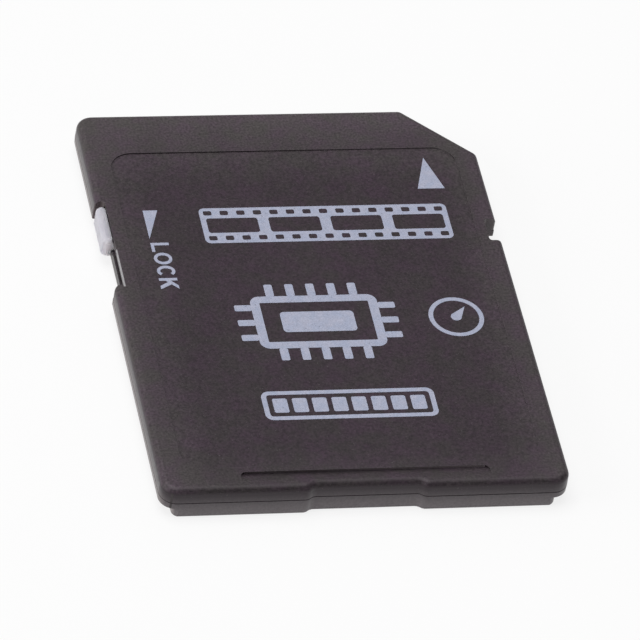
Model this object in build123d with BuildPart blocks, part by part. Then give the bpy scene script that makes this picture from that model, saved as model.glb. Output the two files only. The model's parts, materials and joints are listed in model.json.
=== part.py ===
from build123d import *
import os
from math import sqrt

# Full-size memory card. Millimetres, origin at the middle of the contact face,
# +Y towards the contact end, +Z towards the label side.

# Envelope
card_width = 24.0
card_length = 32.0
card_thickness = 2.1
cut_corner = 4.0
corner_radius = 1.0
cut_corner_radius = 0.5
draft_angle = 2.0
top_edge_radius = 0.4

# Seam between the two covers, and the lower layer under the guide rails
seam_height = 1.12
seam_bevel = 0.03
rail_overhang = 0.75
rail_underside = 0.7
base_corner_radius = 0.5
bottom_edge_radius = 0.15

# Thumb notch across the rear wall
thumb_width = 6.9
thumb_depth = 0.25
thumb_slope = 0.35
thumb_radius = 0.5

# Shell walls and the lip that seats one cover in the other
side_wall = 0.55
rear_wall = 1.8
roof_thickness = 0.3
cavity_radius = 0.6
lip_thickness = 0.4
lip_height = 0.25
lip_radius = 0.3
seam_clearance = 0.05

# Label recess and finger grip on the label side
label_side_margin = 1.45
label_front_margin = 3.5
label_rear_margin = 1.85
label_radius = 1.4
label_depth = 0.08
grip_width = 14.6
grip_setback = 1.43
grip_run = 0.7
grip_depth = 0.15
grip_radius = 0.35

# Retention notch in the right rail
notch_length = 1.85
notch_depth = 0.8
notch_setback = 9.9
notch_mouth_radius = 0.2
notch_lower_mouth_radius = 0.08
notch_inner_radius = 0.2
notch_backing = 0.5

# Lock slot in the left rail and its slider
slot_setback = 7.65
slot_front_mouth_radius = 0.1
slot_rear_mouth_radius = 0.3
slot_lower_mouth_radius = 0.2
slot_front_radius = 0.3
sill_height = 0.07
slider_length = 3.1
slider_end_gap = 0.25
slider_travel = 3.6
slider_bottom_gap = 0.05
slider_top_gap = 0.1
slider_nose_radius = 0.38
slider_inner_radius = 0.45
slider_crown_radius = 0.28
slider_foot_radius = 0.12
slide_clearance = 0.05
trough_width = 0.45
trough_depth = 0.2
trough_wall = 0.55

# Circuit board, its seat and its locating pins
board_thickness = 0.4
board_side_inset = 1.5
board_rear_inset = 2.6
board_radius = 0.4
board_clearance = 0.1
pin_radius = 0.5
pin_side_offset = 1.5
pin_rear_offset = 1.2
pin_stand = 0.2
pin_clearance = 0.05
hold_down_width = 0.8
hold_down_length = 2.4
hold_down_side_offset = 2.0
hold_down_rear_offset = 7.4
hold_down_spacing = 18.3

# Contacts and their windows
contact_depth = 0.7
pad_thickness = 0.04
pad_width = 1.5
pad_length = 4.0
pad_setback = 1.75
pad_radius = 0.25
narrow_pad_width = 0.9
cut_corner_pad_length = 3.4
pad_edge_margin = 0.15
contact_pitch = 2.5
contact_row_inset = 2.625
contact_7_pitch = 2.425
contact_8_pitch = 1.7
window_side_gap = 0.175
window_rear_gap = 0.15

# Cored bays under the board
bay_width = 7.4
bay_length = 5.8
bay_rib = 0.8
bay_columns = 2
bay_rows = 3
bay_setback = 0.85
bay_floor = 0.4

# Packages and passives on the board
flash_width = 12.0
flash_length = 16.0
flash_rear_gap = 1.2
controller_size = 6.0
controller_x = 1.5
controller_gap = 1.4
package_gap = 0.08
package_bevel = 0.08
dimple_inset = 0.8
dimple_radius = 0.35
dimple_depth = 0.05
chip_length = 1.0
chip_width = 0.5
chip_height = 0.35
terminal_length = 0.25
terminal_step = 0.03
passive_pitch_x = 1.7
passive_pitch_y = 2.0
capacitor_x = -5.0
resistor_x = 6.4

# Levels and edges that follow from the sizes above
half_width = card_width / 2
half_length = card_length / 2
ceiling = card_thickness - roof_thickness
lip_top = seam_height + lip_height
lip_inset = side_wall + seam_clearance
lip_inner_inset = lip_inset + lip_thickness
grip_front = grip_setback - half_length
notch_centre = half_length - notch_setback - notch_length / 2
slot_depth = lip_inset
slot_length = slider_length + slider_travel + 2 * slider_end_gap
slot_front = half_length - slot_setback
slot_centre = slot_front - slot_length / 2
sill_top = seam_height + sill_height
slider_front = slot_front - slider_end_gap
slider_bottom = rail_underside + slider_bottom_gap
slider_top = card_thickness - slider_top_gap
trough_floor = seam_height - trough_depth
trough_inner_inset = lip_inner_inset + trough_width
trough_length = slider_length + slider_travel + 2 * slide_clearance
trough_centre = slider_front + slide_clearance - trough_length / 2
tab_outer = -half_width
tab_inner = slot_depth - slide_clearance - half_width
hook_outer = lip_inner_inset + slide_clearance - half_width
hook_inner = trough_inner_inset - slide_clearance - half_width
bridge_bottom = sill_top + slide_clearance
bridge_top = ceiling - slide_clearance
hook_bottom = trough_floor + slide_clearance
board_seat = contact_depth + pad_thickness
board_top = board_seat + board_thickness
board_rear = board_rear_inset - half_length
board_cut_line = half_width + half_length - cut_corner - board_side_inset * sqrt(2)
pin_x = half_width - board_side_inset - pin_side_offset
pin_y = board_rear + pin_rear_offset
hold_down_x = half_width - board_side_inset - hold_down_side_offset
hold_down_y = board_rear + hold_down_rear_offset + hold_down_spacing / 2
package_height = ceiling - board_top - package_gap
flash_y = board_rear + flash_rear_gap + flash_length / 2
controller_y = flash_y + flash_length / 2 + controller_gap + controller_size / 2

# Contacts by number, in the order of the row: 9, 1 to 6, then the closer pair 7 and 8
even_row = (9, 1, 2, 3, 4, 5, 6)
row_start = half_width - contact_row_inset
pad_centre = {number: row_start - contact_pitch * place for place, number in enumerate(even_row)}
pad_centre[7] = pad_centre[6] - contact_7_pitch
pad_centre[8] = pad_centre[7] - contact_8_pitch
pad_size = {number: pad_width for number in pad_centre}
pad_size[8] = narrow_pad_width
pad_reach = {number: pad_length for number in pad_centre}
pad_reach[9] = cut_corner_pad_length
pad_rear = {number: half_length - pad_setback - pad_length for number in pad_centre}
cut_corner_pad_front = board_cut_line - row_start - pad_width / 2 - pad_edge_margin
pad_rear[9] = cut_corner_pad_front - cut_corner_pad_length
bay_front = pad_rear[9] - window_rear_gap - bay_setback

os.makedirs("parts", exist_ok=True)


def inner_outline(inset, rear_inset, radius):
    """Card outline moved in by inset at the sides, front and cut corner, and by rear_inset at the rear."""
    side = half_width - inset
    front = half_length - inset
    rear = rear_inset - half_length
    cut_line = half_width + half_length - cut_corner - inset * sqrt(2)
    with BuildSketch(mode=Mode.PRIVATE) as outline:
        with BuildLine():
            Polyline(
                (-side, rear),
                (side, rear),
                (side, cut_line - side),
                (cut_line - front, front),
                (-side, front),
                close=True,
            )
        make_face()
        fillet(outline.vertices(), radius)
    return outline.sketch


def edge_notch(side, centre, length, depth, front_radius, rear_radius):
    """Notch in a long edge, rounded at its mouth: side is -1 for the left edge, +1 for the right."""
    edge = side * half_width
    with BuildSketch(mode=Mode.PRIVATE) as notch:
        with Locations((edge, centre)):
            Rectangle(2 * depth, length)
        with Locations((edge + side * depth / 2, centre)):
            Rectangle(depth, length + 4 * max(front_radius, rear_radius))
        for end, radius in ((length / 2, front_radius), (-length / 2, rear_radius)):
            fillet(notch.vertices().sort_by_distance((edge, centre + end))[0], radius)
    return notch.sketch


def lock_slot(front_radius, rear_radius):
    """Slot for the slider in the left rail, round in its front inner corner too."""
    with BuildSketch(mode=Mode.PRIVATE) as slot:
        add(edge_notch(-1, slot_centre, slot_length, slot_depth, front_radius, rear_radius))
        fillet(slot.vertices().group_by(Axis.X)[-1].sort_by(Axis.Y)[-1], slot_front_radius)
    return slot.sketch


def retention_notch(mouth_radius):
    """Notch for a socket's latch in the right rail, round in its inner corners too."""
    with BuildSketch(mode=Mode.PRIVATE) as notch:
        add(edge_notch(1, notch_centre, notch_length, notch_depth, mouth_radius, mouth_radius))
        fillet(notch.vertices().group_by(Axis.X)[0], notch_inner_radius)
    return notch.sketch


# Outer outline shared by both covers at the seam
with BuildSketch() as card_outline:
    with BuildLine():
        Polyline(
            (-half_width, -half_length),
            (-thumb_width / 2, -half_length),
            (thumb_slope - thumb_width / 2, thumb_depth - half_length),
            (thumb_width / 2 - thumb_slope, thumb_depth - half_length),
            (thumb_width / 2, -half_length),
            (half_width, -half_length),
            (half_width, half_length - cut_corner),
            (half_width - cut_corner, half_length),
            (-half_width, half_length),
            close=True,
        )
    make_face()
    thumb_corners = card_outline.vertices().filter_by_position(Axis.X, -thumb_width / 2, thumb_width / 2)
    fillet(thumb_corners.filter_by_position(Axis.Y, -half_length, 0), thumb_radius)
    cut_corners = card_outline.vertices().filter_by_position(Axis.X, half_width - cut_corner, half_width)
    fillet(cut_corners.filter_by_position(Axis.Y, 0, half_length), cut_corner_radius)
    fillet(card_outline.vertices().group_by(Axis.X)[0], corner_radius)
    fillet(card_outline.vertices().group_by(Axis.X)[-1].group_by(Axis.Y)[0], corner_radius)

# Finger grip: a wedge that is deepest at its front wall and runs out towards the rear edge
with BuildPart() as grip_wedge:
    with BuildSketch(Plane.YZ.offset(-grip_width / 2)):
        with BuildLine():
            Polyline(
                (grip_front, card_thickness - grip_depth),
                (grip_front, card_thickness),
                (grip_front - grip_run, card_thickness),
                close=True,
            )
        make_face()
    extrude(amount=grip_width)
    fillet(grip_wedge.edges().filter_by(Axis.Z), grip_radius)

with BuildPart() as top_cover:
    # Drafted shell with a soft upper edge and a fine bevel along the seam
    with BuildSketch(Plane.XY.offset(seam_height)):
        add(card_outline.sketch)
    extrude(amount=card_thickness - seam_height)
    draft(top_cover.faces().filter_by(Axis.Z, reverse=True), Plane.XY.offset(seam_height), draft_angle)
    fillet(top_cover.faces().sort_by(Axis.Z)[-1].edges(), top_edge_radius)
    chamfer(top_cover.faces().sort_by(Axis.Z)[0].edges(), seam_bevel)
    with BuildSketch(Plane.XY.offset(seam_height)):
        add(inner_outline(side_wall, rear_wall, cavity_radius))
    extrude(amount=ceiling - seam_height, mode=Mode.SUBTRACT)
    # Wall behind the retention notch, and the ribs that hold the board down
    with BuildSketch(Plane.XY.offset(seam_height)):
        with Locations((half_width - side_wall / 2, notch_centre)):
            Rectangle(
                notch_depth + notch_backing - side_wall / 2,
                notch_length + 2 * notch_backing,
                align=(Align.MAX, Align.CENTER),
            )
    extrude(amount=ceiling - seam_height)
    with BuildSketch(Plane.XY.offset(board_top)):
        with Locations((0, hold_down_y)):
            with GridLocations(2 * hold_down_x, hold_down_spacing, 2, 2):
                Rectangle(hold_down_width, hold_down_length)
    extrude(amount=ceiling - board_top)
    # Label recess and finger grip
    with BuildSketch(Plane.XY.offset(card_thickness)):
        with Locations((0, (label_rear_margin - label_front_margin) / 2)):
            RectangleRounded(
                card_width - 2 * label_side_margin,
                card_length - label_front_margin - label_rear_margin,
                label_radius,
            )
    extrude(amount=-label_depth, mode=Mode.SUBTRACT)
    add(grip_wedge.part, mode=Mode.SUBTRACT)
    # Lock slot and retention notch
    with BuildSketch(Plane.XY.offset(seam_height)):
        add(lock_slot(slot_front_mouth_radius, slot_rear_mouth_radius))
        add(retention_notch(notch_mouth_radius))
    extrude(amount=card_thickness - seam_height, mode=Mode.SUBTRACT)

with BuildPart() as bottom_cover:
    # Drafted shell, narrower below the guide rails
    with BuildSketch(Plane.XY.offset(seam_height)):
        add(card_outline.sketch)
    extrude(amount=-seam_height)
    draft(bottom_cover.faces().filter_by(Axis.Z, reverse=True), Plane.XY.offset(seam_height), -draft_angle)
    chamfer(bottom_cover.faces().sort_by(Axis.Z)[-1].edges(), seam_bevel)
    with BuildSketch():
        Rectangle(2 * card_width, 2 * card_length)
        RectangleRounded(
            card_width - 2 * rail_overhang,
            card_length,
            base_corner_radius,
            mode=Mode.SUBTRACT,
        )
    extrude(amount=rail_underside, mode=Mode.SUBTRACT)
    fillet(bottom_cover.faces().sort_by(Axis.Z)[0].edges(), bottom_edge_radius)
    # Lip that seats inside the top cover, open at the wall behind the retention notch
    with BuildSketch(Plane.XY.offset(seam_height)):
        add(inner_outline(lip_inset, rear_wall + seam_clearance, cavity_radius))
        add(
            inner_outline(lip_inner_inset, rear_wall + seam_clearance + lip_thickness, lip_radius),
            mode=Mode.SUBTRACT,
        )
        with Locations((half_width, notch_centre)):
            Rectangle(
                2 * (notch_depth + notch_backing + seam_clearance),
                notch_length + 2 * (notch_backing + seam_clearance),
                mode=Mode.SUBTRACT,
            )
    extrude(amount=lip_height)
    # Sill: the lip is lower along the slot, where the slider's bridge passes over it
    with BuildSketch(Plane.XY.offset(sill_top)):
        with Locations((-half_width, slot_centre)):
            Rectangle(2 * lip_inner_inset, slot_length)
    extrude(amount=lip_top - sill_top, mode=Mode.SUBTRACT)
    # Seat of the board, with the block that holds the slider's trough, and the trough itself
    with BuildSketch(Plane.XY.offset(board_seat)):
        add(
            inner_outline(
                board_side_inset - board_clearance,
                board_rear_inset - board_clearance,
                board_radius,
            )
        )
        with Locations((-half_width, trough_centre)):
            Rectangle(
                2 * (trough_inner_inset + trough_wall),
                trough_length + 2 * trough_wall,
                mode=Mode.SUBTRACT,
            )
    extrude(amount=seam_height - board_seat, mode=Mode.SUBTRACT)
    with BuildSketch(Plane.XY.offset(trough_floor)):
        with Locations((lip_inner_inset - half_width, trough_centre)):
            Rectangle(trough_width, trough_length, align=(Align.MIN, Align.CENTER))
    extrude(amount=trough_depth, mode=Mode.SUBTRACT)
    # Cored bays under the board and the two pins that locate it
    with BuildSketch(Plane.XY.offset(bay_floor)):
        with Locations((0, bay_front - (bay_rows * bay_length + (bay_rows - 1) * bay_rib) / 2)):
            with GridLocations(bay_width + bay_rib, bay_length + bay_rib, bay_columns, bay_rows):
                Rectangle(bay_width, bay_length)
    extrude(amount=board_seat - bay_floor, mode=Mode.SUBTRACT)
    with BuildSketch(Plane.XY.offset(board_seat)):
        with Locations((-pin_x, pin_y), (pin_x, pin_y)):
            Circle(pin_radius)
    extrude(amount=board_thickness + pin_stand)
    # Contact windows, open at the front edge; the last two contacts share one
    with BuildSketch():
        for number in pad_centre:
            with Locations((pad_centre[number], pad_rear[number] - window_rear_gap)):
                Rectangle(
                    pad_size[number] + 2 * window_side_gap,
                    card_length,
                    align=(Align.CENTER, Align.MIN),
                )
        with Locations((pad_centre[7], pad_rear[7] - window_rear_gap)):
            Rectangle(contact_8_pitch, card_length, align=(Align.MAX, Align.MIN))
    extrude(amount=board_seat, mode=Mode.SUBTRACT)
    # Lock slot and retention notch, with sharper mouths than in the top cover
    with BuildSketch(Plane.XY.offset(rail_underside)):
        add(lock_slot(slot_front_mouth_radius, slot_lower_mouth_radius))
        add(retention_notch(notch_lower_mouth_radius))
    extrude(amount=seam_height - rail_underside, mode=Mode.SUBTRACT)

# White tab outside, a bridge over the sill and a hook that runs in the trough behind it
with BuildPart() as lock_slider:
    with BuildSketch(Plane.XZ.offset(-slider_front)):
        with BuildLine():
            Polyline(
                (tab_outer, slider_bottom),
                (tab_inner, slider_bottom),
                (tab_inner, bridge_bottom),
                (hook_outer, bridge_bottom),
                (hook_outer, hook_bottom),
                (hook_inner, hook_bottom),
                (hook_inner, bridge_top),
                (tab_inner, bridge_top),
                (tab_inner, slider_top),
                (tab_outer, slider_top),
                close=True,
            )
        make_face()
    extrude(amount=slider_length)
    fillet(lock_slider.edges().filter_by(Axis.Z).group_by(Axis.X)[0], slider_nose_radius)
    tab_face = lock_slider.faces().sort_by(Axis.X)[0]
    fillet(tab_face.edges().filter_by(Axis.Y).sort_by(Axis.Z)[0], slider_foot_radius)
    tab_crown = lock_slider.faces().sort_by(Axis.Z)[-1]
    fillet(tab_crown.edges().sort_by(Axis.X)[:-1], slider_crown_radius)
    # Round inner corner at the front of the tab, above the bridge
    with BuildSketch(Plane.XY.offset(bridge_top)):
        with Locations((tab_inner, slider_front)):
            Rectangle(slider_inner_radius, slider_inner_radius, align=(Align.MAX, Align.MAX))
        with Locations((tab_inner - slider_inner_radius, slider_front - slider_inner_radius)):
            Circle(slider_inner_radius, mode=Mode.SUBTRACT)
    extrude(amount=slider_top - bridge_top, mode=Mode.SUBTRACT)

with BuildPart() as circuit_board:
    with BuildSketch(Plane.XY.offset(board_seat)):
        add(inner_outline(board_side_inset, board_rear_inset, board_radius))
        with Locations((-half_width, trough_centre)):
            Rectangle(
                2 * (trough_inner_inset + trough_wall + board_clearance),
                trough_length + 2 * (trough_wall + board_clearance),
                mode=Mode.SUBTRACT,
            )
        with Locations((-pin_x, pin_y), (pin_x, pin_y)):
            Circle(pin_radius + pin_clearance, mode=Mode.SUBTRACT)
    extrude(amount=board_thickness)


def moulded_package(width, length, x, y):
    """Chip package on the board with bevelled upper edges and a pin-one dimple."""
    with BuildPart() as package:
        with BuildSketch(Plane.XY.offset(board_top)):
            with Locations((x, y)):
                Rectangle(width, length)
        extrude(amount=package_height)
        chamfer(package.faces().sort_by(Axis.Z)[-1].edges(), package_bevel)
        with BuildSketch(Plane.XY.offset(board_top + package_height)):
            with Locations((x - width / 2 + dimple_inset, y + length / 2 - dimple_inset)):
                Circle(dimple_radius)
        extrude(amount=-dimple_depth, mode=Mode.SUBTRACT)
    return package.part


def chip_passive(x, y):
    """Chip capacitor or resistor on the board: a body between two slightly larger end terminals."""
    with BuildPart() as passive:
        with BuildSketch(Plane.XY.offset(board_top)):
            with Locations((x, y)):
                Rectangle(chip_width, chip_length)
        extrude(amount=chip_height)
        with BuildSketch(Plane.XY.offset(board_top)):
            with Locations((x, y)):
                with GridLocations(0, chip_length - terminal_length, 1, 2):
                    Rectangle(chip_width + 2 * terminal_step, terminal_length)
        extrude(amount=chip_height + terminal_step)
    return passive.part


def save(piece, name):
    """Label a finished piece and write it under its node name."""
    piece.label = name
    export_step(piece, f"parts/{name}.step")


save(top_cover.part, "top_cover")
save(bottom_cover.part, "bottom_cover")
save(lock_slider.part, "lock_slider")
save(circuit_board.part, "circuit_board")

for number in pad_centre:
    with BuildPart() as contact_pad:
        with BuildSketch(Plane.XY.offset(contact_depth)):
            with Locations((pad_centre[number], pad_rear[number])):
                RectangleRounded(
                    pad_size[number],
                    pad_reach[number],
                    pad_radius,
                    align=(Align.CENTER, Align.MIN),
                )
        extrude(amount=pad_thickness)
    save(contact_pad.part, f"contact_pad_{number}")

save(moulded_package(flash_width, flash_length, 0, flash_y), "flash_memory_chip")
save(moulded_package(controller_size, controller_size, controller_x, controller_y), "controller_chip")

passive_grid = [
    (column * passive_pitch_x / 2, row * passive_pitch_y / 2)
    for row in (1, -1)
    for column in (-1, 1)
]
for index, (across, along) in enumerate(passive_grid, start=1):
    save(chip_passive(capacitor_x + across, controller_y + along), f"capacitor_{index}")
    save(chip_passive(resistor_x + across, controller_y + along), f"resistor_{index}")
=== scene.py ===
import json
from math import cos, radians, sin
import bmesh
import bpy
from mathutils import Matrix, Vector


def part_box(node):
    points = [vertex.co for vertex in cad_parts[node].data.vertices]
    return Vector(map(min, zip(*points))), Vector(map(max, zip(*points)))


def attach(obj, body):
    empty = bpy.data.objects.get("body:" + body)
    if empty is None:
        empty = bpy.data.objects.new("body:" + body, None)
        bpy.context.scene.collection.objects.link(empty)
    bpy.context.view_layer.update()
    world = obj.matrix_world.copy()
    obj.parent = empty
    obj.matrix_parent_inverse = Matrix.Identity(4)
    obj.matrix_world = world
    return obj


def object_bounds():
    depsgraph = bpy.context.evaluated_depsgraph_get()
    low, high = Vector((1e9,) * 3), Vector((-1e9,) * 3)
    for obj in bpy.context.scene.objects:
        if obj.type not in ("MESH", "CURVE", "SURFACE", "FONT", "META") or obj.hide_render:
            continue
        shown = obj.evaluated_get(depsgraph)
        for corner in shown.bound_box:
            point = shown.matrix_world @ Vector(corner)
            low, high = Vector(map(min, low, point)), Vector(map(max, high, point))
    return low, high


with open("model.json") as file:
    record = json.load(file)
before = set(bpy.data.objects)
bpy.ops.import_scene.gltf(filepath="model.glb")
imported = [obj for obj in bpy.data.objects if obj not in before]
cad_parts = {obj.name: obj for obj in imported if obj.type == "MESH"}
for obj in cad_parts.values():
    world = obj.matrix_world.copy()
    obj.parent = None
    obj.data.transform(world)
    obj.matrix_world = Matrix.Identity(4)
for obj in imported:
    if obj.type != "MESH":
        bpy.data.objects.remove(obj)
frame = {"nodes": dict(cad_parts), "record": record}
cad_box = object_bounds()

# Sizes below are in millimetres, from the middle of the card's contact face; Blender takes metres
MM = 0.001

# Camera: it looks over the rear edge from the left, turned a little about its own axis
camera_azimuth = -17.86
camera_elevation = 42.305
camera_roll = 10.825
camera_distance = 415.71
camera_target = (0.03, -1.09, 1.0)
focal_length = 400.08
sensor_width = 36.0

# Studio: a white table, a sky that is darker behind the camera than ahead of it, and two soft boxes
floor_size = 4000.0
floor_colour = (0.95, 0.95, 0.95, 1)
floor_roughness = 0.9
floor_glow_share = 0.82
sky_behind = (0.08, 0.08, 0.085, 1)
sky_ahead = (0.3, 0.3, 0.3, 1)
sky_behind_end = -0.8
sky_ahead_end = 0.5
key_place = (-120.0, 60.0, 640.0)
key_size = 480.0
key_power = 3.0
fill_place = (-700.0, -60.0, 260.0)
fill_size = 420.0
fill_power = 2.1

# Print on the label: thickness of its film, and steps in each arc
ink_thickness = 0.012
arc_steps = 24

# Marks for the way in and for the lock, as corners
insertion_mark = ((7.731, 8.946), (9.389, 8.946), (8.591, 11.669))
lock_mark = ((-9.253, 7.522), (-9.243, 5.069), (-8.374, 7.522))

# Word beside the lock mark: foot line, letter height, strokes, and each letter's start and width
lock_word_foot = -9.263
lock_word_height = 1.09
lock_word_stem = 0.22
lock_word_bar = 0.19
lock_word_starts = {"L": 4.72, "O": 3.86, "C": 2.75, "K": 1.69}
lock_word_widths = {"L": 0.77, "O": 1.0, "C": 0.92, "K": 0.93}
c_opening_angle = 42.0
k_arm_low = 0.37
k_arm_high = 0.68
k_arm_tip = 0.28
k_inner_knee = 0.34
k_outer_knee = 0.54

# Film sign: band, edge holes and picture windows
film_low = (-5.92, 4.58)
film_high = (9.12, 7.6)
film_radius = 0.35
film_holes = 15
film_hole = (0.5, 0.38)
film_hole_inset = 0.43
film_hole_radius = 0.1
film_windows = 4
film_window = (3.1, 1.26)
film_window_radius = 0.18

# Chip sign: framed body, core and pins
chip_centre = (-0.42, -2.27)
chip_size = (7.6, 4.4)
chip_stroke = 0.55
chip_radius = 0.6
chip_core = (4.4, 1.7)
chip_core_radius = 0.25
chip_pin = (0.5, 1.0)
chip_pin_pitch = 1.25
chip_pin_radius = 0.1
chip_pins_across = 5
chip_pins_along = 3

# Dial sign: ring, hub and needle
dial_centre = (7.87, -2.17)
dial_radius = 1.65
dial_stroke = 0.28
dial_hub = 0.32
dial_hub_turn = 210.0
dial_needle = 1.08
dial_needle_angle = 52.0

# Gauge sign: framed row of cells
gauge_low = (-4.97, -10.38)
gauge_high = (5.27, -8.02)
gauge_stroke = 0.3
gauge_radius = 0.5
gauge_cells = 8
gauge_gap = 0.3
gauge_cell_radius = 0.12

# Noise: octaves of detail, and the ranges that most of its values lie in
noise_detail = 2.0
noise_rich = 3.0
noise_plain = 0.0
noise_wide = (0.3, 0.7)
noise_narrow = (0.35, 0.65)

# Cover plastic: sizes of its grain, mottling, clouds and specks, and the ranges that bring them out
cover_grain = 0.14
cover_mottle = 1.3
cover_mottle_range = (0.36, 0.64)
cover_cloud = 3.2
cover_cloud_range = (0.93, 1.07)
cover_speck = 0.09
cover_speck_range = (0.76, 0.84)
cover_speck_share = 0.16
cover_roughness = (0.44, 0.56)
cover_wall_polish = 0.15
cover_relief = 0.006

# Grain of the cover: contrast and strength of relief, on level faces and on walls
grain_contrast = (0.42, 0.15)
grain_strength = (0.5, 0.15)

# Edges of the cover, rubbed a little paler
edge_width = 0.12
edge_share = 0.1
edge_samples = 6
edge_facing = (0.8, 0.99)

# Level faces: the stretches where painted light makes them pale towards the sides, the front and the rear,
# and how far it goes
lit_sides = (8.5, 12.0)
lit_side_share = 0.75
lit_front = (9.7, 15.3)
lit_rear = (-13.0, -16.0)
lit_rear_share = 0.45

# Level faces that turn to the rear, and how much painted shade darkens them
shaded_back_facing = (-0.12, -0.4)
shaded_back_share = 0.38

# Walls against level faces, by how far they look up; rails against ends, by how far they look sideways, as
# the rails take more painted light;
# and the heights where a wall's dark top tone ends and its foot tone, paler with painted light from the
# white table, begins
wall_facing = (0.2, 0.45)
rail_facing = (0.7, 0.95)
wall_heights = (1.6, 0.25)

# Tones of the cover, in pairs where one goes over into the other; the rim, turned-back, wall-foot, grip,
# label, notch and slot tones are painted light and shade
lit_rim_tones = ((0.0715, 0.052, 0.066, 1), (0.064, 0.057, 0.056, 1))
middle_tones = ((0.0345, 0.0198, 0.0318, 1), (0.0293, 0.0225, 0.0256, 1))
shaded_back_tone = (0.014, 0.0095, 0.0115, 1)
wall_top_tone = (0.02, 0.012, 0.0165, 1)
lit_wall_foot_tones = ((0.19, 0.171, 0.178, 1), (0.335, 0.298, 0.295, 1))
grip_wall_light_tones = ((0.14, 0.117, 0.125, 1), (0.31, 0.265, 0.28, 1))
grip_shade_tone = (0.006, 0.004, 0.005, 1)
label_front_light_tones = ((0.045, 0.034, 0.039, 1), (0.11, 0.093, 0.1, 1))
label_side_light_tone = (0.072, 0.06, 0.065, 1)
notch_light_tone = (0.112, 0.096, 0.1, 1)
slot_wall_shade_tone = (0.028, 0.023, 0.022, 1)
slot_front_light_tone = (0.1, 0.077, 0.079, 1)
pale_edge_tone = (0.36, 0.35, 0.36, 1)
speck_tone = (0.24, 0.225, 0.225, 1)
edge_tone = (0.14, 0.13, 0.135, 1)

# Slider plastic: how far light spreads in it, its flow of tone, its grain, and painted light that makes its
# rear end paler
slider_spread = (1.0, 0.95, 0.95)
slider_spread_depth = 0.7
slider_flow = 0.9
slider_flow_stretch = (1, 0.4, 1)
slider_tones = ((0.48, 0.47, 0.525, 1), (0.55, 0.54, 0.585, 1))
slider_rear_light_facing = (-0.55, -1.0)
slider_rear_light_tone = (0.8, 0.76, 0.8, 1)
slider_grain = 0.08
slider_roughness = (0.36, 0.46)

# Relief of the other finishes: its depth and its strength
slider_relief = (0.003, 0.4)
ink_relief = (0.004, 0.5)
gold_relief = (0.002, 0.5)
board_relief = (0.02, 0.6)
package_relief = (0.004, 0.5)
ceramic_relief = (0.003, 0.5)

# Label ink: patches of tone, grain and pinholes
ink_patch = 0.5
ink_tones = ((0.385, 0.42, 0.55, 1), (0.435, 0.45, 0.565, 1))
ink_grain = 0.08
ink_grain_range = (0.88, 1.12)
ink_pinhole = 0.1
ink_pinhole_range = (0.24, 0.18)
ink_pinhole_share = 0.5
ink_pinhole_tone = (0.06, 0.05, 0.06, 1)
ink_roughness = (0.5, 0.62)

# Contact gold: wipe marks and tarnish
gold_wipe = 0.05
gold_wipe_stretch = (1, 0.06, 1)
gold_tarnish = 0.7
gold_tarnish_range = (0.35, 0.7)
gold_tones = ((0.86, 0.61, 0.24, 1), (0.74, 0.49, 0.18, 1))
gold_roughness = (0.2, 0.38)

# Board laminate: bands of traces, and the weave under the mask
board_traces = {"Scale": 0.42, "Distortion": 1.5, "Detail": 1.0}
board_trace_range = (0.55, 0.65)
board_tones = ((0.012, 0.06, 0.028, 1), (0.03, 0.13, 0.05, 1))
board_weave = 0.18
board_weave_range = (0.4, 0.7)
board_weave_share = 0.25
board_weave_tone = (0.05, 0.12, 0.06, 1)
board_roughness = (0.28, 0.4)

# Package epoxy: flow of tone and specks of filler
package_flow = 1.8
package_tones = ((0.014, 0.014, 0.015, 1), (0.024, 0.023, 0.023, 1))
package_filler = 0.06
package_filler_range = (0.62, 0.72)
package_filler_share = 0.5
package_filler_tone = (0.1, 0.1, 0.1, 1)
package_roughness = (0.5, 0.62)

# Chip ceramics: bare middle as a share of the length to each side, specks, and tones of bodies and tin
ceramic_middle = 0.25
ceramic_speck = 0.05
ceramic_speck_range = (0.35, 0.7)
ceramic_roughness = (0.35, 0.5)
capacitor_tones = ((0.42, 0.3, 0.18, 1), (0.5, 0.37, 0.24, 1))
resistor_tones = ((0.02, 0.02, 0.024, 1), (0.06, 0.06, 0.065, 1))
tin_tones = ((0.6, 0.6, 0.62, 1), (0.72, 0.72, 0.73, 1))


def first_hit(node, start, direction):
    """Place where a ray first meets a node, in millimetres."""
    place = frame["nodes"][node].ray_cast(Vector(start) * MM, Vector(direction))[1]
    return place / MM


card_low, card_high = (corner / MM for corner in cad_box)
slider_low, slider_high = (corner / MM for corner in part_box("lock_slider"))
label_floor = first_hit("top_cover", (0, 0, 2 * card_high.z), (0, 0, -1)).z

# Upper edge of the lock slot beside its open end, painted as a pale line
pale_edge_depth = 0.13
pale_edge_slider_gap = 0.85
pale_edge_rear = 1.0
pale_edge_front = slider_low.y - pale_edge_slider_gap
pale_edge_middle = (pale_edge_front + pale_edge_rear) / 2
pale_edge_reach = (pale_edge_front - pale_edge_rear) / 2
pale_edge_side = (2 * card_low.x, pale_edge_middle, card_high.z - pale_edge_depth / 2)

# Inner wall of the lock slot, which takes painted shade, and how far its front wall, which takes painted
# light, lies, at most, from the card's edge and the slider
slot_wall_x = first_hit("top_cover", pale_edge_side, (1, 0, 0)).x
slot_wall_margin = 0.06
slot_front_reach = 0.7
slot_front_facing = (-0.1, -0.5)

# Front wall of the label recess, found halfway up, and where painted light makes it paler
label_middle = (label_floor + card_high.z) / 2
label_front_y = first_hit("top_cover", (0, 0, label_middle), (0, 1, 0)).y
label_front_reach = 1.0
label_front_facing = (-0.3, -0.7)

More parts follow.
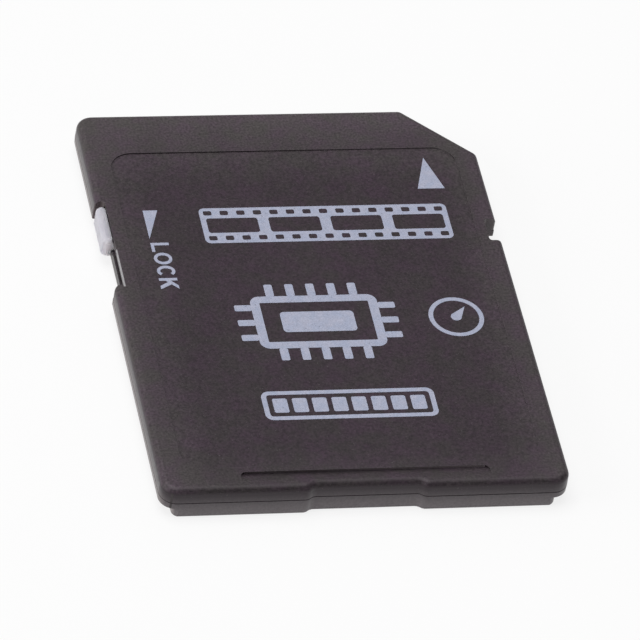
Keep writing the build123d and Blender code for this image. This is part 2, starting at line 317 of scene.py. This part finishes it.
# Front wall of the finger grip, found by a look along its ramp: how far it runs to either side, the painted
# shade at its foot, and the stretch over which that shade weakens, and the painted light on the grip's and
# label recess's front walls grows, to the right
grip_ramp_inset = 1.2
grip_ramp_depth = 0.05
grip_ramp = (0, card_low.y + grip_ramp_inset, card_high.z - grip_ramp_depth)
grip_wall_y = first_hit("top_cover", grip_ramp, (0, 1, 0)).y
grip_wall_margin = 0.02
grip_reach = 7.3
grip_depth = 0.2
grip_shade = 0.35
grip_shade_margin = 0.01
grip_shade_depths = (0.02, 0.06)
grip_shade_shares = (0.8, 0.3)
grip_rightward = (-3.0, 6.5)

# Side walls of the label recess, whose painted light sets in over a stretch in front of the grip
label_side_margin = 0.05
label_side_heights = (1.95, 2.0)
label_side_fade = 1.0

# Walls of the retention notch, painted one even tone of light, paler than other walls at the top and less
# pale at the foot
notch_light_middle = (11.45, 5.2)
notch_light_reach = (0.48, 0.95)


class Finish:
    """One material: its node tree, with short calls that add nodes and link them."""

    def __init__(self, name, constants):
        self.material = bpy.data.materials.new(name)
        self.material.use_nodes = True
        self.tree = self.material.node_tree
        self.surface = self.tree.nodes["Principled BSDF"]
        for socket, value in constants.items():
            self.surface.inputs[socket].default_value = value
        self.coordinates = self.add("ShaderNodeTexCoord").outputs
        self.place = self.scale(self.coordinates["Object"], 1 / MM)

    def add(self, kind, inputs=None, **settings):
        """New node with its settings made and its inputs fed."""
        node = self.tree.nodes.new(kind)
        for name, value in settings.items():
            setattr(node, name, value)
        for name, value in (inputs or {}).items():
            self.feed(node.inputs[name], value)
        return node

    def feed(self, socket, value):
        """Link a socket to another, or set it to a plain value."""
        if isinstance(value, bpy.types.NodeSocket):
            self.tree.links.new(value, socket)
        else:
            socket.default_value = value

    def math(self, operation, *values):
        """Result of a plain sum on numbers or sockets."""
        return self.add("ShaderNodeMath", dict(enumerate(values)), operation=operation).outputs[0]

    def near(self, value, middle, reach):
        """One where a value lies within reach of a middle, and else zero."""
        return self.math("COMPARE", value, middle, reach)

    def both(self, share, *others):
        """What is left of a share where the others hold too: their product."""
        for other in others:
            share = self.math("MULTIPLY", share, other)
        return share

    def axes(self, vector):
        """The three parts of a vector."""
        return self.add("ShaderNodeSeparateXYZ", {0: vector}).outputs

    def facing(self):
        """How far the surface looks along each of the three axes."""
        return self.axes(self.coordinates["Normal"])

    def scale(self, vector, factor):
        """Colour or place times a factor."""
        return self.add("ShaderNodeVectorMath", {0: vector, 3: factor}, operation="SCALE").outputs[0]

    def noise(self, size, detail=noise_detail, stretch=(1, 1, 1)):
        """Noise from 0 to 1 with features of about the given size; a stretch under 1 draws them out."""
        inputs = {0: self.place, 1: stretch}
        place = self.add("ShaderNodeVectorMath", inputs, operation="MULTIPLY").outputs[0]
        inputs = {"Vector": place, "Scale": 1 / size, "Detail": detail}
        return self.add("ShaderNodeTexNoise", inputs).outputs[0]

    def spread(self, value, low, high, to_low=0.0, to_high=1.0):
        """Map a value from one range to another, held at its ends."""
        inputs = {"Value": value, "From Min": low, "From Max": high, "To Min": to_low, "To Max": to_high}
        return self.add("ShaderNodeMapRange", inputs).outputs[0]

    def blend(self, share, first, second):
        """Colour that goes from the first to the second with the share."""
        return self.add("ShaderNodeMix", {0: share, 6: first, 7: second}, data_type="RGBA").outputs[2]

    def edges(self, width):
        """One along the edges of the shape, fading out over the width."""
        soft = self.add("ShaderNodeBevel", {"Radius": width * MM}, samples=edge_samples).outputs[0]
        true = self.add("ShaderNodeNewGeometry").outputs["Normal"]
        inputs = {0: soft, 1: true}
        agreement = self.add("ShaderNodeVectorMath", inputs, operation="DOT_PRODUCT").outputs["Value"]
        return self.spread(agreement, *edge_facing, 1.0, 0.0)

    def bump(self, height, depth, strength):
        """Relief of the given depth in millimetres."""
        inputs = {"Height": height, "Distance": depth * MM, "Strength": strength}
        return self.add("ShaderNodeBump", inputs).outputs[0]

    def finish(self, **sockets):
        """Feed the shader's own sockets and give back the material."""
        names = {"colour": "Base Color", "roughness": "Roughness", "metal": "Metallic", "normal": "Normal"}
        for name, value in sockets.items():
            self.feed(self.surface.inputs[names[name]], value)
        return self.material


def in_grip(made, place):
    """One in the finger grip, and else zero."""
    return made.both(made.near(place[2], card_high.z, grip_depth), made.near(place[0], 0.0, grip_reach))


def grip_foot(made, place):
    """Painted shade on the grip's ramp towards the foot of its front wall, weaker towards the right."""
    x, y, z = place
    return made.both(
        made.near(y, grip_wall_y - grip_shade / 2, grip_shade / 2 + grip_shade_margin),
        in_grip(made, place),
        made.spread(z, card_high.z - grip_shade_depths[0], card_high.z - grip_shade_depths[1]),
        made.spread(y, grip_wall_y - grip_shade, grip_wall_y),
        made.spread(x, *grip_rightward, *grip_shade_shares),
    )


def level_tone(made, place):
    """Tone of the level faces: mottled, with painted light that makes them paler towards the rim, and
    painted shade where they turn to the rear and on the grip's ramp.
    """
    x, y = place[:2]
    mottle = made.spread(made.noise(cover_mottle, noise_rich), *cover_mottle_range)
    # Painted light: the level faces pale towards the sides, the front and the rear
    sides = made.spread(made.math("ABSOLUTE", x), *lit_sides, 0.0, lit_side_share)
    rear = made.spread(y, *lit_rear, 0.0, lit_rear_share)
    ends = made.math("MAXIMUM", made.spread(y, *lit_front), rear)
    rim = made.math("MULTIPLY_ADD", sides, made.math("SUBTRACT", 1.0, ends), ends)
    tone = made.blend(rim, made.blend(mottle, *middle_tones), made.blend(mottle, *lit_rim_tones))
    # Painted shade where the level faces turn to the rear
    shaded_back = made.spread(made.facing()[1], *shaded_back_facing, 0.0, shaded_back_share)
    tone = made.blend(shaded_back, tone, shaded_back_tone)
    # Painted shade at the foot of the grip's front wall
    return made.blend(grip_foot(made, place), tone, grip_shade_tone)


def wall_tone(made, place):
    """Tone of the walls: painted light that makes them pale at the foot, and painted light and shade of
    their own in the grip, label recess, notch and slot.
    """
    x, y, z = place
    sideways, frontward = made.facing()[:2]
    sideways = made.math("ABSOLUTE", sideways)
    rightward = made.spread(x, *grip_rightward)
    grip_wall = made.both(in_grip(made, place), made.near(y, grip_wall_y, grip_wall_margin))
    label_front = made.near(y, label_front_y, label_front_reach)
    label_front = made.both(label_front, made.spread(frontward, *label_front_facing))
    notch_light = made.near(x, notch_light_middle[0], notch_light_reach[0])
    notch_light = made.both(notch_light, made.near(y, notch_light_middle[1], notch_light_reach[1]))
    slot_front_light = made.near(x, card_low.x, slot_front_reach)
    slot_front_light = made.both(slot_front_light, made.near(y, slider_high.y, slot_front_reach))
    slot_front_light = made.both(slot_front_light, made.spread(frontward, *slot_front_facing))
    label_side = made.near(sideways, 1.0, label_side_margin)
    label_side = made.both(label_side, made.spread(z, *label_side_heights))
    label_side = made.both(label_side, made.spread(y, grip_wall_y, grip_wall_y + label_side_fade))

    # Painted light from the white table: walls pale towards the foot, the rails the most
    lit_foot_tone = made.blend(made.spread(sideways, *rail_facing), *lit_wall_foot_tones)
    tone = made.blend(made.spread(z, *wall_heights), wall_top_tone, lit_foot_tone)
    # Painted tones of their own: painted light on the front walls of the grip and the label recess, growing
    # to the right,
    # an even painted light on the notch walls, painted shade on the slot's inner wall, and painted light on
    # its front wall and the label's side walls
    painted_tones = [
        (grip_wall, made.blend(rightward, *grip_wall_light_tones)),
        (label_front, made.blend(rightward, *label_front_light_tones)),
        (notch_light, notch_light_tone),
        (made.near(x, slot_wall_x, slot_wall_margin), slot_wall_shade_tone),
        (slot_front_light, slot_front_light_tone),
        (label_side, label_side_light_tone),
    ]
    for share, painted_tone in painted_tones:
        tone = made.blend(share, tone, painted_tone)
    return tone


def pale_slot_edge(made, place):
    """One along the pale line on the upper edge of the lock slot, and else zero."""
    x, y, z = place
    return made.both(
        made.near(x, slot_wall_x, slot_wall_margin),
        made.near(z, card_high.z, pale_edge_depth),
        made.near(y, pale_edge_middle, pale_edge_reach),
    )


def cover_plastic():
    """Dark moulded plastic: fine grain, faint mottling, pale specks and edges, smoother walls, and painted
    light and shade.
    """
    made = Finish("cover_plastic", {"IOR": 1.46, "Specular Tint": (1.0, 0.94, 0.97, 1)})
    place = made.axes(made.place)
    walls = made.spread(made.math("ABSOLUTE", made.facing()[2]), *wall_facing, 1.0, 0.0)
    colour = made.blend(walls, level_tone(made, place), wall_tone(made, place))

    grain = made.noise(cover_grain, noise_rich)
    clouds = made.spread(made.noise(cover_cloud), *noise_wide, *cover_cloud_range)
    contrast = made.spread(walls, 0.0, 1.0, *grain_contrast)
    fleck = made.both(contrast, made.spread(grain, *noise_wide, -1.0, 1.0))
    colour = made.scale(colour, made.math("MULTIPLY_ADD", fleck, clouds, clouds))

    specks = made.spread(made.noise(cover_speck, noise_plain), *cover_speck_range, 0.0, cover_speck_share)
    colour = made.blend(specks, colour, speck_tone)
    colour = made.blend(made.both(made.edges(edge_width), edge_share), colour, edge_tone)
    colour = made.blend(pale_slot_edge(made, place), colour, pale_edge_tone)

    roughness = made.spread(grain, *noise_wide, *cover_roughness)
    roughness = made.math("SUBTRACT", roughness, made.both(walls, cover_wall_polish))
    relief = made.bump(grain, cover_relief, made.spread(walls, 0.0, 1.0, *grain_strength))
    return made.finish(colour=colour, roughness=roughness, normal=relief)


def slider_plastic():
    """White moulded plastic, smooth and translucent, with a faint flow of tone and painted light that makes
    its rear end paler.
    """
    constants = {
        "IOR": 1.5,
        "Subsurface Weight": 1.0,
        "Subsurface Radius": slider_spread,
        "Subsurface Scale": slider_spread_depth * MM,
    }
    made = Finish("slider_plastic", constants)
    flow = made.spread(made.noise(slider_flow, stretch=slider_flow_stretch), *noise_narrow)
    # Painted light: faces turned to the rear are paler
    rear = made.spread(made.facing()[1], *slider_rear_light_facing)
    colour = made.blend(rear, made.blend(flow, *slider_tones), slider_rear_light_tone)
    grain = made.noise(slider_grain)
    roughness = made.spread(grain, *noise_wide, *slider_roughness)
    return made.finish(colour=colour, roughness=roughness, normal=made.bump(grain, *slider_relief))


def label_ink():
    """Pale screen-printed ink, uneven where the mesh laid it down, with pinholes."""
    made = Finish("label_ink", {"IOR": 1.45})
    patches = made.spread(made.noise(ink_patch, noise_rich), *noise_narrow)
    grain = made.noise(ink_grain)
    colour = made.scale(made.blend(patches, *ink_tones), made.spread(grain, *noise_wide, *ink_grain_range))
    pinholes = made.spread(made.noise(ink_pinhole, noise_plain), *ink_pinhole_range, 0.0, ink_pinhole_share)
    colour = made.blend(pinholes, colour, ink_pinhole_tone)
    roughness = made.spread(grain, *noise_wide, *ink_roughness)
    return made.finish(colour=colour, roughness=roughness, normal=made.bump(grain, *ink_relief))


def contact_gold():
    """Gold plating with fine wipe marks along the way the card goes in."""
    made = Finish("contact_gold", {"Metallic": 1.0})
    wipes = made.noise(gold_wipe, noise_rich, gold_wipe_stretch)
    tarnish = made.spread(made.noise(gold_tarnish, noise_rich), *gold_tarnish_range)
    colour = made.blend(tarnish, *gold_tones)
    roughness = made.spread(wipes, *noise_wide, *gold_roughness)
    return made.finish(colour=colour, roughness=roughness, normal=made.bump(wipes, *gold_relief))


def board_laminate():
    """Green solder mask over a faint weave and raised traces."""
    made = Finish("board_laminate", {"IOR": 1.5, "Coat Weight": 0.3, "Coat Roughness": 0.15})
    inputs = {"Vector": made.place, **board_traces}
    traces = made.add("ShaderNodeTexWave", inputs, wave_profile="SIN", bands_direction="X").outputs[1]
    raised = made.spread(traces, *board_trace_range)
    weave = made.noise(board_weave)
    threads = made.spread(weave, *board_weave_range, 0.0, board_weave_share)
    colour = made.blend(threads, made.blend(raised, *board_tones), board_weave_tone)
    roughness = made.spread(weave, *noise_wide, *board_roughness)
    return made.finish(colour=colour, roughness=roughness, normal=made.bump(raised, *board_relief))


def package_epoxy():
    """Black moulding compound with pale specks of filler."""
    made = Finish("package_epoxy", {"IOR": 1.52})
    filler = made.noise(package_filler, noise_rich)
    flow = made.noise(package_flow)
    specks = made.spread(filler, *package_filler_range, 0.0, package_filler_share)
    colour = made.blend(specks, made.blend(flow, *package_tones), package_filler_tone)
    roughness = made.spread(flow, *noise_wide, *package_roughness)
    return made.finish(colour=colour, roughness=roughness, normal=made.bump(filler, *package_relief))


def chip_ceramic(name, body_tones):
    """Ceramic body between two tinned end terminals."""
    made = Finish(name, {"IOR": 1.55})
    along = made.axes(made.coordinates["Generated"])[1]
    tinned = made.math("SUBTRACT", 1.0, made.near(along, 0.5, ceramic_middle))
    specks = made.noise(ceramic_speck, noise_rich)
    body = made.blend(made.spread(specks, *ceramic_speck_range), *body_tones)
    colour = made.blend(tinned, body, made.blend(specks, *tin_tones))
    roughness = made.spread(specks, *noise_wide, *ceramic_roughness)
    relief = made.bump(specks, *ceramic_relief)
    return made.finish(colour=colour, roughness=roughness, metal=tinned, normal=relief)


def arc(centre, radii, start, end):
    """Points along an arc of a circle or ellipse, angles in degrees."""
    angles = [radians(start + (end - start) * step / arc_steps) for step in range(arc_steps + 1)]
    return [(centre[0] + radii[0] * cos(a), centre[1] + radii[1] * sin(a)) for a in angles]


def oval(centre, radii):
    """Closed circle or ellipse, in two arcs."""
    return arc(centre, radii, 0, 180)[:-1] + arc(centre, radii, 180, 360)[:-1]


def rounded_box(low, high, radius):
    """Closed rectangle with round corners."""
    left, right = low[0] + radius, high[0] - radius
    bottom, top = low[1] + radius, high[1] - radius
    corners = [((right, top), 0), ((left, top), 90), ((left, bottom), 180), ((right, bottom), 270)]
    return [point for centre, start in corners for point in arc(centre, (radius, radius), start, start + 90)]


def centred_box(centre, size, radius):
    """Closed rectangle with round corners about its centre."""
    low = (centre[0] - size[0] / 2, centre[1] - size[1] / 2)
    high = (centre[0] + size[0] / 2, centre[1] + size[1] / 2)
    return rounded_box(low, high, radius)


def inset(low, high, margin):
    """Corners of a box drawn in by a margin on every side."""
    return (low[0] + margin, low[1] + margin), (high[0] - margin, high[1] - margin)


def row(middle, count, pitch):
    """Evenly spaced places about a middle."""
    return [middle + (index - (count - 1) / 2) * pitch for index in range(count)]


def printed(name, regions):
    """Film of ink on the label floor; each region is its outer outline and the holes in it."""
    film = bmesh.new()
    for region in regions:
        borders = []
        for outline in region:
            corners = [film.verts.new((x, y, label_floor)) for x, y in outline]
            borders += [film.edges.new(pair) for pair in zip(corners, corners[1:] + corners[:1])]
        bmesh.ops.triangle_fill(film, use_beauty=True, edges=borders)
    raised = bmesh.ops.extrude_face_region(film, geom=film.faces[:])["geom"]
    top = [item for item in raised if isinstance(item, bmesh.types.BMVert)]
    bmesh.ops.translate(film, verts=top, vec=(0, 0, ink_thickness))
    bmesh.ops.recalc_face_normals(film, faces=film.faces[:])
    bmesh.ops.scale(film, verts=film.verts[:], vec=(MM, MM, MM))
    mesh = bpy.data.meshes.new(name)
    film.to_mesh(mesh)
    film.free()
    mesh.materials.append(ink)
    piece = bpy.data.objects.new(name, mesh)
    bpy.context.scene.collection.objects.link(piece)
    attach(piece, "card")


def letter(name, width):
    """One capital of the lock word, to the right and up from its foot: its outline and any hole in it."""
    height, stem, bar = lock_word_height, lock_word_stem, lock_word_bar
    middle = (width / 2, height / 2)
    inner = (width / 2 - stem, height / 2 - bar)
    if name == "L":
        return [[(0, 0), (width, 0), (width, bar), (stem, bar), (stem, height), (0, height)]]
    if name == "O":
        return [oval(middle, middle), oval(middle, inner)]
    if name == "C":
        first, last = c_opening_angle, 360 - c_opening_angle
        return [arc(middle, middle, first, last) + arc(middle, inner, last, first)]
    slope = (height - k_arm_low) / (width - stem)
    inner_knee = (k_inner_knee, k_arm_low + slope * (k_inner_knee - stem))
    outer_knee = (k_outer_knee, k_arm_low + slope * (k_outer_knee - stem))
    outline = [(0, 0), (stem, 0), (stem, k_arm_low), inner_knee, (width - k_arm_tip, 0), (width, 0)]
    outline += [outer_knee, (width, height), (width - k_arm_tip, height), (stem, k_arm_high)]
    return [outline + [(stem, height), (0, height)]]


def lock_word():
    """The word that names the slider's locked end, read from the front down the left edge."""
    regions = []
    for name, start in lock_word_starts.items():
        region = []
        for outline in letter(name, lock_word_widths[name]):
            region.append([(lock_word_foot + up, start - across) for across, up in outline])
        regions.append(region)
    printed("print_lock_word", regions)


def film_sign():
    """Plain strip of film: a band with holes along both edges and picture windows between."""
    middle = ((film_low[0] + film_high[0]) / 2, (film_low[1] + film_high[1]) / 2)
    length = film_high[0] - film_low[0]
    region = [rounded_box(film_low, film_high, film_radius)]
    for x in row(middle[0], film_holes, length / film_holes):
        for y in (film_low[1] + film_hole_inset, film_high[1] - film_hole_inset):
            region.append(centred_box((x, y), film_hole, film_hole_radius))
    for x in row(middle[0], film_windows, length / film_windows):
        region.append(centred_box((x, middle[1]), film_window, film_window_radius))
    printed("print_film_sign", [region])


def chip_sign():
    """Plain sign of a chip: framed body, solid core and a row of pins on each side."""
    half_width, half_height = chip_size[0] / 2, chip_size[1] / 2
    low = (chip_centre[0] - half_width, chip_centre[1] - half_height)
    high = (chip_centre[0] + half_width, chip_centre[1] + half_height)
    body = rounded_box(low, high, chip_radius)
    opening = rounded_box(*inset(low, high, chip_stroke), chip_radius - chip_stroke)
    regions = [[body, opening], [centred_box(chip_centre, chip_core, chip_core_radius)]]
    wide, long = chip_pin
    for x in row(chip_centre[0], chip_pins_across, chip_pin_pitch):
        for y in (low[1] - long / 2, high[1] + long / 2):
            regions.append([centred_box((x, y), (wide, long), chip_pin_radius)])
    for y in row(chip_centre[1], chip_pins_along, chip_pin_pitch):
        for x in (low[0] - long / 2, high[0] + long / 2):
            regions.append([centred_box((x, y), (long, wide), chip_pin_radius)])
    printed("print_chip_sign", regions)


def dial_sign():
    """Plain dial: a ring with a hub and a needle."""
    hole = dial_radius - dial_stroke
    ring = [oval(dial_centre, (dial_radius, dial_radius)), oval(dial_centre, (hole, hole))]
    turn = radians(dial_needle_angle)
    tip = (dial_centre[0] + dial_needle * cos(turn), dial_centre[1] + dial_needle * sin(turn))
    far_side = dial_needle_angle + 180
    hub_ends = (far_side - dial_hub_turn / 2, far_side + dial_hub_turn / 2)
    needle = [arc(dial_centre, (dial_hub, dial_hub), *hub_ends) + [tip]]
    printed("print_dial_sign", [ring, needle])


def gauge_sign():
    """Plain gauge: a row of cells in a rounded frame."""
    frame_edge = rounded_box(gauge_low, gauge_high, gauge_radius)
    opening = rounded_box(*inset(gauge_low, gauge_high, gauge_stroke), gauge_radius - gauge_stroke)
    regions = [[frame_edge, opening]]
    low, high = inset(gauge_low, gauge_high, gauge_stroke + gauge_gap)
    pitch = (high[0] - low[0] + gauge_gap) / gauge_cells
    cell = (pitch - gauge_gap, high[1] - low[1])
    for x in row((low[0] + high[0]) / 2, gauge_cells, pitch):
        regions.append([centred_box((x, (low[1] + high[1]) / 2), cell, gauge_cell_radius)])
    printed("print_gauge_sign", regions)


def dress_nodes():
    """Give every solid of the card its finish."""
    finishes = {
        "cover_plastic": cover_plastic(),
        "slider_plastic": slider_plastic(),
        "contact_gold": contact_gold(),
        "board_laminate": board_laminate(),
        "package_epoxy": package_epoxy(),
        "capacitor_ceramic": chip_ceramic("capacitor_ceramic", capacitor_tones),
        "resistor_ceramic": chip_ceramic("resistor_ceramic", resistor_tones),
    }
    for part in frame["record"]["subparts"]:
        for slot in frame["nodes"][part["node"]].material_slots:
            slot.material = finishes[part["material_slot"]]


def floor():
    """White table that keeps the card's shadow and can be looked through from below."""
    half = floor_size / 2 * MM
    corners = [(-half, -half, 0), (half, -half, 0), (half, half, 0), (-half, half, 0)]
    mesh = bpy.data.meshes.new("floor")
    mesh.from_pydata(corners, [], [(0, 1, 2, 3)])
    table = bpy.data.objects.new("floor", mesh)
    bpy.context.scene.collection.objects.link(table)
    constants = {"Base Color": floor_colour, "Roughness": floor_roughness, "Specular IOR Level": 0.0}
    made = Finish("floor", constants)
    path = made.add("ShaderNodeLightPath").outputs
    seen = made.math("ADD", path["Is Camera Ray"], path["Is Glossy Ray"])
    seen = made.math("ADD", seen, path["Is Transmission Ray"])
    share = made.math("MULTIPLY", seen, floor_glow_share)
    white = made.add("ShaderNodeEmission").outputs[0]
    lit = made.add("ShaderNodeMixShader", {0: share, 1: made.surface.outputs[0], 2: white}).outputs[0]
    under = made.add("ShaderNodeNewGeometry").outputs["Backfacing"]
    clear = made.add("ShaderNodeBsdfTransparent").outputs[0]
    both = made.add("ShaderNodeMixShader", {0: under, 1: lit, 2: clear}).outputs[0]
    made.feed(made.tree.nodes["Material Output"].inputs[0], both)
    mesh.materials.append(made.material)


def soft_box(name, place, size, power):
    """Square soft light that faces the card."""
    lamp = bpy.data.lights.new(name, "AREA")
    lamp.size = size * MM
    lamp.energy = power
    light = bpy.data.objects.new(name, lamp)
    light.location = Vector(place) * MM
    light.rotation_euler = (-light.location).to_track_quat("-Z", "Y").to_euler()
    bpy.context.scene.collection.objects.link(light)


def sky():
    """Plain surroundings, lighter in front of the camera than behind it."""
    world = bpy.data.worlds.new("studio")
    bpy.context.scene.world = world
    world.use_nodes = True
    tree = world.node_tree
    direction = tree.nodes.new("ShaderNodeTexCoord")
    axes = tree.nodes.new("ShaderNodeSeparateXYZ")
    share = tree.nodes.new("ShaderNodeMapRange")
    share.interpolation_type = "SMOOTHSTEP"
    share.inputs["From Min"].default_value = sky_behind_end
    share.inputs["From Max"].default_value = sky_ahead_end
    tones = tree.nodes.new("ShaderNodeMix")
    tones.data_type = "RGBA"
    tones.inputs[6].default_value = sky_behind
    tones.inputs[7].default_value = sky_ahead
    tree.links.new(direction.outputs["Generated"], axes.inputs[0])
    tree.links.new(axes.outputs["Y"], share.inputs["Value"])
    tree.links.new(share.outputs[0], tones.inputs[0])
    tree.links.new(tones.outputs[2], tree.nodes["Background"].inputs["Color"])


def camera():
    """Long lens at the photo's angle."""
    turn, rise = radians(camera_azimuth), radians(camera_elevation)
    back = Vector((sin(turn) * cos(rise), -cos(turn) * cos(rise), sin(rise)))
    lens = bpy.data.cameras.new("camera")
    lens.lens = focal_length
    lens.sensor_width = sensor_width
    seen = bpy.data.objects.new("camera", lens)
    place = Matrix.Translation((Vector(camera_target) + back * camera_distance) * MM)
    facing = (-back).to_track_quat("-Z", "Y").to_matrix().to_4x4()
    seen.matrix_world = place @ facing @ Matrix.Rotation(radians(camera_roll), 4, "Z")
    bpy.context.scene.collection.objects.link(seen)
    bpy.context.scene.camera = seen


bpy.context.scene.view_settings.view_transform = "Standard"
camera()
sky()
soft_box("key", key_place, key_size, key_power)
soft_box("fill", fill_place, fill_size, fill_power)
floor()
dress_nodes()
ink = label_ink()
printed("print_insertion_mark", [[insertion_mark]])
printed("print_lock_mark", [[lock_mark]])
lock_word()
film_sign()
chip_sign()
dial_sign()
gauge_sign()
